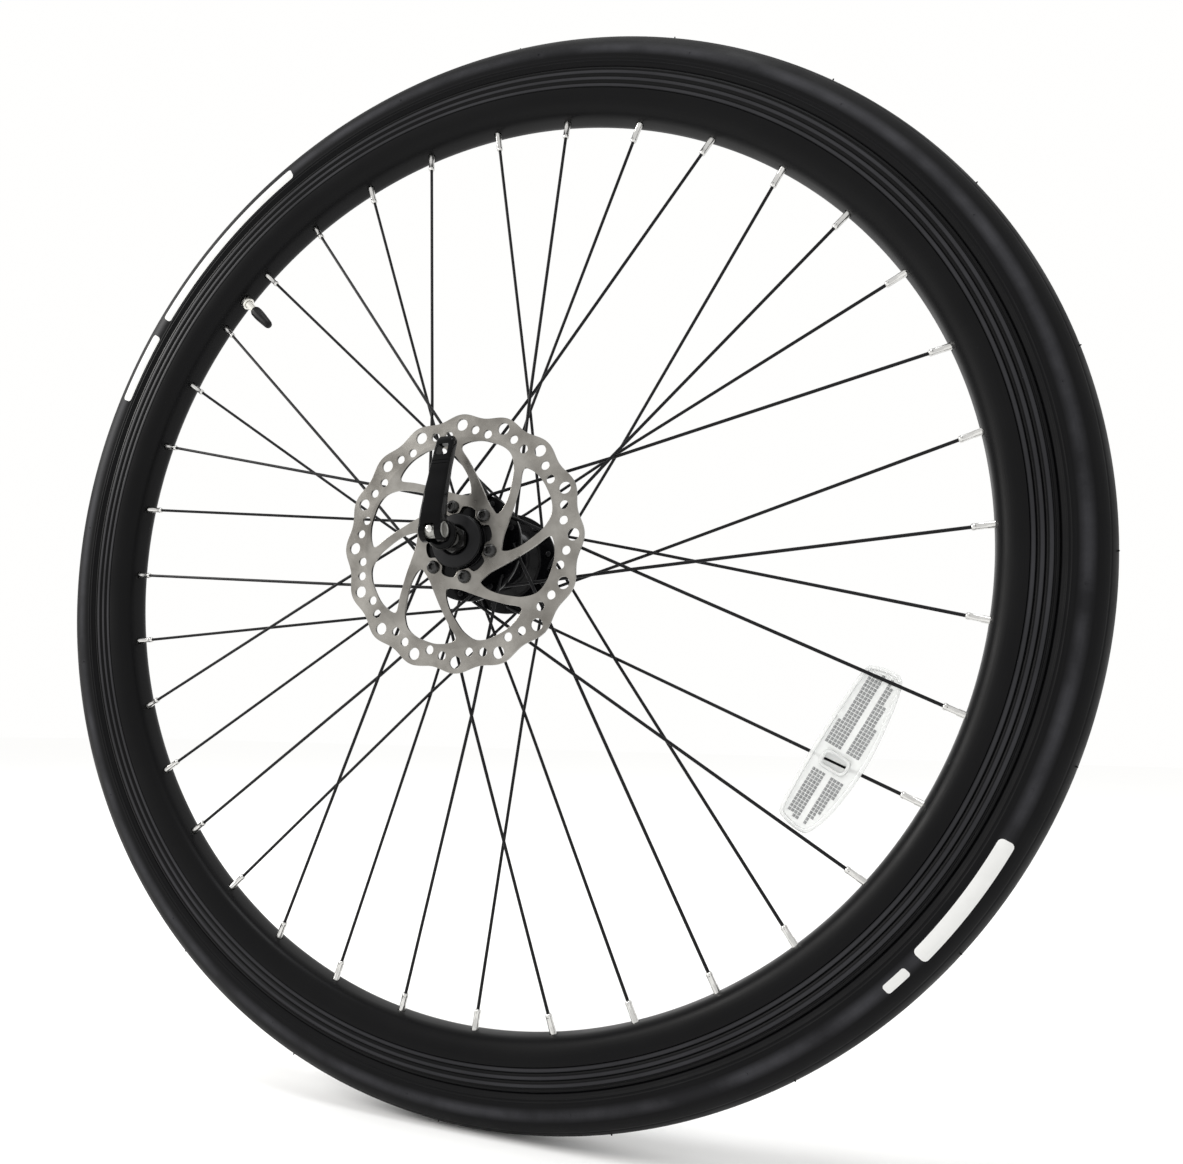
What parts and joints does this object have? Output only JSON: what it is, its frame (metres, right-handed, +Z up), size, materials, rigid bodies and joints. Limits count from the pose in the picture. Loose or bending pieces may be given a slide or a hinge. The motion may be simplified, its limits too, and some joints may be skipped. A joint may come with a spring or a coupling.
{
  "type": "bicycle front wheel",
  "caption": "Spoked bicycle front wheel with a slick tyre, flanged hub, disc brake rotor, quick-release skewer, valve and spoke reflector; turns on ball bearings.",
  "frame": {"origin": "wheel centre, on the axle line midway between the two locknut faces", "axes": "+Y along the axle away from the brake rotor, +Z up with the quick-release lever closed and upright, +X forward"},
  "size_m": [0.6896, 0.1561, 0.6896],
  "materials": {
    "tyre_rubber": "matt, fine grain",
    "butyl": "smooth",
    "tape": "woven nylon",
    "black_alloy": "black anodised, satin",
    "black_steel": "black coated",
    "steel": "machined",
    "rotor_steel": "ground stainless, fine swirl",
    "black_plastic": "moulded",
    "lever_alloy": "gloss black",
    "plated_brass": "nickel plated",
    "reflector_plastic": "clear moulded prism"
  },
  "bodies": {
    "axle_assembly": {"axle": "steel", "left_cone": "steel", "right_cone": "steel", "left_locknut": "black_steel", "right_locknut": "black_steel", "left_spring": "steel"},
    "wheel": {"hub_shell": "black_alloy", "rim": "black_alloy", "tyre": "tyre_rubber", "inner_tube": "butyl", "rim_tape": "tape", "spoke_pair_01": "black_steel", "spoke_pair_02": "black_steel", "spoke_pair_03": "black_steel", "spoke_pair_04": "black_steel", "spoke_pair_05": "black_steel", "spoke_pair_06": "black_steel", "spoke_pair_07": "black_steel", "spoke_pair_08": "black_steel", "spoke_pair_09": "black_steel", "spoke_pair_10": "black_steel", "spoke_pair_11": "black_steel", "spoke_pair_12": "black_steel", "spoke_pair_13": "black_steel", "spoke_pair_14": "black_steel", "spoke_pair_15": "black_steel", "spoke_pair_16": "black_steel", "spoke_pair_17": "black_steel", "spoke_pair_18": "black_steel", "left_dust_cap": "black_plastic", "right_dust_cap": "black_plastic", "brake_rotor": "rotor_steel", "rotor_bolt_1": "black_steel", "rotor_bolt_2": "black_steel", "rotor_bolt_3": "black_steel", "rotor_bolt_4": "black_steel", "rotor_bolt_5": "black_steel", "rotor_bolt_6": "black_steel", "valve_stem": "plated_brass", "valve_ring": "plated_brass", "reflector": "reflector_plastic", "reflector_clip": "reflector_plastic"},
    "left_cage": {"left_ball_ring": "steel"},
    "right_cage": {"right_ball_ring": "steel"},
    "washer": {"lever_washer": "lever_alloy"},
    "skewer": {"skewer_rod": "steel", "cam_barrel": "steel"},
    "lever": {"qr_lever": "lever_alloy"},
    "nut_spring": {"right_spring": "steel"},
    "nut": {"adjusting_nut": "lever_alloy"},
    "cap": {"valve_cap": "black_plastic"},
    "pin": {"valve_pin": "plated_brass"}
  },
  "joints": [
    {"name": "wheel_spin", "type": "hinge", "parent": "axle_assembly", "child": "wheel", "pos_m": [0, 0, 0], "axis": [0, 1, 0], "continuous": true},
    {"name": "left_cage_spin", "type": "hinge", "parent": "axle_assembly", "child": "left_cage", "pos_m": [0, -0.0406, 0], "axis": [0, 1, 0], "continuous": true},
    {"name": "right_cage_spin", "type": "hinge", "parent": "axle_assembly", "child": "right_cage", "pos_m": [0, 0.0406, 0], "axis": [0, 1, 0], "continuous": true},
    {"name": "skewer_float", "type": "slide", "parent": "axle_assembly", "child": "washer", "axis": [0, 1, 0], "range_m": [-0.003, 0.003], "stiffness_N_per_m": 400, "deforming": ["left_spring", "right_spring"]},
    {"name": "cam_draw", "type": "slide", "parent": "washer", "child": "skewer", "axis": [0, 1, 0], "range_m": [0, 0.0016]},
    {"name": "lever_turn", "type": "hinge", "parent": "skewer", "child": "lever", "pos_m": [0, -0.0739, 0], "axis": [1, 0, 0], "range_deg": [0, 180]},
    {"name": "nut_feed", "type": "slide", "parent": "skewer", "child": "nut_spring", "axis": [0, 1, 0], "range_m": [-0.0032, 0.0064], "deforming": ["right_spring"]},
    {"name": "nut_turn", "type": "hinge", "parent": "nut_spring", "child": "nut", "pos_m": [0, 0.0682, 0], "axis": [0, 1, 0], "range_deg": [-1440, 2880]},
    {"name": "valve_cap_pull", "type": "slide", "parent": "wheel", "child": "cap", "axis": [0.7071, 0, -0.7071], "range_m": [0, 0.025]},
    {"name": "valve_pin_press", "type": "slide", "parent": "wheel", "child": "pin", "axis": [-0.7071, 0, 0.7071], "range_m": [0, 0.002], "stiffness_N_per_m": 200, "springref_m": -0.0005}
  ],
  "couplings": [
    {"joint": "left_cage_spin", "follows": "wheel_spin", "ratio": 0.6},
    {"joint": "right_cage_spin", "follows": "wheel_spin", "ratio": 0.6},
    {"joint": "cam_draw", "follows": "lever_turn", "m_per_rad": 0.00050929},
    {"joint": "nut_feed", "follows": "nut_turn", "m_per_rad": 0.00012732}
  ]
}
